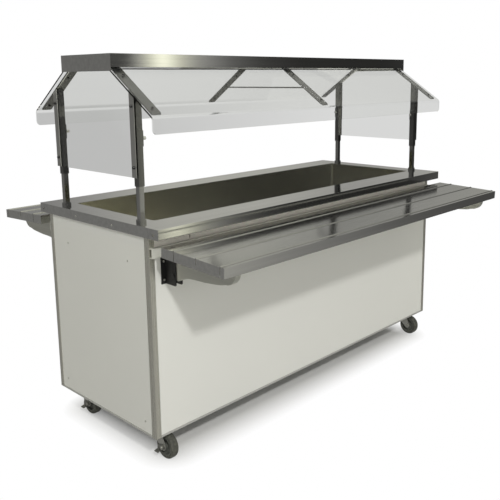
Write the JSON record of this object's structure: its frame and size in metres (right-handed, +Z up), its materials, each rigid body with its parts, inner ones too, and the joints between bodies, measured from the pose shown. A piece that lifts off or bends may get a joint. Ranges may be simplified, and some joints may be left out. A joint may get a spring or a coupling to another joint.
{
  "type": "mobile salad bar",
  "caption": "Mobile cold food bar on swivel casters: panelled cabinet, deep insulated pan, folding tray slides and a telescoping sneeze guard with overshelf.",
  "frame": {"origin": "on the floor under the middle of the bar", "axes": "+X to the right along the length, +Y to the rear, +Z up"},
  "size_m": [1.884, 1.442, 1.508],
  "materials": {
    "stainless": "brushed along the length",
    "dark_bracket": "satin black",
    "laminate": "smooth off-white laminate",
    "acrylic": "clear",
    "zinc": "zinc plated",
    "tread": "matt",
    "foam": "foam",
    "brass": "cast",
    "lever": "dipped"
  },
  "bodies": {
    "cabinet": {"base_frame": "stainless", "corner_posts": "stainless", "front_panel": "laminate", "rear_panel": "laminate", "left_end_panel": "laminate", "right_end_panel": "laminate", "countertop": "stainless", "cold_pan": "stainless", "pan_insulation": "foam", "pan_casing": "zinc", "drain_pipe": "stainless", "drain_valve": "brass", "cabinet_screws": "zinc", "mounting_rails": "stainless", "wall_brackets": "dark_bracket", "hinge_pins": "zinc", "lower_posts": "stainless", "post_collars": "stainless", "caster_plates": "zinc"},
    "drain_lever": {"valve_lever": "lever"},
    "front_slide": {"front_tray_slide": "stainless", "front_slide_arms": "stainless"},
    "rear_slide": {"rear_tray_slide": "stainless", "rear_slide_arms": "stainless"},
    "canopy": {"sleeves": "stainless", "clamp_plates": "stainless", "left_frame": "stainless", "middle_frame": "stainless", "right_frame": "stainless", "tie_rod": "stainless", "overshelf": "stainless", "front_shield": "acrylic", "rear_shield": "acrylic", "left_end_shield": "acrylic", "right_end_shield": "acrylic", "shield_strips": "stainless", "canopy_bolts": "zinc"},
    "front_left_knob": {"front_left_knob": "zinc"},
    "front_left_fork": {"front_left_fork": "zinc"},
    "front_left_wheel": {"front_left_hub": "zinc", "front_left_tyre": "tread"},
    "front_left_brake": {"front_left_brake": "zinc"},
    "front_right_knob": {"front_right_knob": "zinc"},
    "front_right_fork": {"front_right_fork": "zinc"},
    "front_right_wheel": {"front_right_hub": "zinc", "front_right_tyre": "tread"},
    "front_right_brake": {"front_right_brake": "zinc"},
    "rear_left_knob": {"rear_left_knob": "zinc"},
    "rear_left_fork": {"rear_left_fork": "zinc"},
    "rear_left_wheel": {"rear_left_hub": "zinc", "rear_left_tyre": "tread"},
    "rear_left_brake": {"rear_left_brake": "zinc"},
    "rear_right_knob": {"rear_right_knob": "zinc"},
    "rear_right_fork": {"rear_right_fork": "zinc"},
    "rear_right_wheel": {"rear_right_hub": "zinc", "rear_right_tyre": "tread"},
    "rear_right_brake": {"rear_right_brake": "zinc"}
  },
  "joints": [
    {"name": "canopy_lift", "type": "slide", "parent": "cabinet", "child": "canopy", "axis": [0, 0, 1], "range_m": [-0.04, 0.08]},
    {"name": "front_slide_fold", "type": "hinge", "parent": "cabinet", "child": "front_slide", "pos_m": [0, -0.379, 0.735], "axis": [1, 0, 0], "range_deg": [0, 87.5]},
    {"name": "rear_slide_fold", "type": "hinge", "parent": "cabinet", "child": "rear_slide", "pos_m": [0, 0.379, 0.735], "axis": [-1, 0, 0], "range_deg": [0, 87.5]},
    {"name": "drain_lever_turn", "type": "hinge", "parent": "cabinet", "child": "drain_lever", "pos_m": [0, -0.0353, 0.361], "axis": [0, 1, 0], "range_deg": [0, 90]},
    {"name": "front_left_knob_turn", "type": "hinge", "parent": "canopy", "child": "front_left_knob", "pos_m": [-0.876, -0.253, 1.215], "axis": [-1, 0, 0], "range_deg": [0, 360]},
    {"name": "front_left_swivel", "type": "hinge", "parent": "cabinet", "child": "front_left_fork", "pos_m": [-0.855, -0.258, 0.107], "axis": [0, 0, 1], "continuous": true},
    {"name": "front_left_roll", "type": "hinge", "parent": "front_left_fork", "child": "front_left_wheel", "pos_m": [-0.855, -0.296, 0.05], "axis": [1, 0, 0], "continuous": true},
    {"name": "front_left_brake_press", "type": "hinge", "parent": "front_left_fork", "child": "front_left_brake", "pos_m": [-0.8785, -0.296, 0.05], "axis": [-1, 0, 0], "range_deg": [0, 20]},
    {"name": "front_right_knob_turn", "type": "hinge", "parent": "canopy", "child": "front_right_knob", "pos_m": [0.876, -0.253, 1.215], "axis": [1, 0, 0], "range_deg": [0, 360]},
    {"name": "front_right_swivel", "type": "hinge", "parent": "cabinet", "child": "front_right_fork", "pos_m": [0.855, -0.258, 0.107], "axis": [0, 0, 1], "continuous": true},
    {"name": "front_right_roll", "type": "hinge", "parent": "front_right_fork", "child": "front_right_wheel", "pos_m": [0.855, -0.296, 0.05], "axis": [1, 0, 0], "continuous": true},
    {"name": "front_right_brake_press", "type": "hinge", "parent": "front_right_fork", "child": "front_right_brake", "pos_m": [0.8785, -0.296, 0.05], "axis": [-1, 0, 0], "range_deg": [0, 20]},
    {"name": "rear_left_knob_turn", "type": "hinge", "parent": "canopy", "child": "rear_left_knob", "pos_m": [-0.876, 0.253, 1.215], "axis": [-1, 0, 0], "range_deg": [0, 360]},
    {"name": "rear_left_swivel", "type": "hinge", "parent": "cabinet", "child": "rear_left_fork", "pos_m": [-0.855, 0.258, 0.107], "axis": [0, 0, 1], "continuous": true},
    {"name": "rear_left_roll", "type": "hinge", "parent": "rear_left_fork", "child": "rear_left_wheel", "pos_m": [-0.855, 0.22, 0.05], "axis": [1, 0, 0], "continuous": true},
    {"name": "rear_left_brake_press", "type": "hinge", "parent": "rear_left_fork", "child": "rear_left_brake", "pos_m": [-0.8785, 0.22, 0.05], "axis": [-1, 0, 0], "range_deg": [0, 20]},
    {"name": "rear_right_knob_turn", "type": "hinge", "parent": "canopy", "child": "rear_right_knob", "pos_m": [0.876, 0.253, 1.215], "axis": [1, 0, 0], "range_deg": [0, 360]},
    {"name": "rear_right_swivel", "type": "hinge", "parent": "cabinet", "child": "rear_right_fork", "pos_m": [0.855, 0.258, 0.107], "axis": [0, 0, 1], "continuous": true},
    {"name": "rear_right_roll", "type": "hinge", "parent": "rear_right_fork", "child": "rear_right_wheel", "pos_m": [0.855, 0.22, 0.05], "axis": [1, 0, 0], "continuous": true},
    {"name": "rear_right_brake_press", "type": "hinge", "parent": "rear_right_fork", "child": "rear_right_brake", "pos_m": [0.8785, 0.22, 0.05], "axis": [-1, 0, 0], "range_deg": [0, 20]}
  ]
}
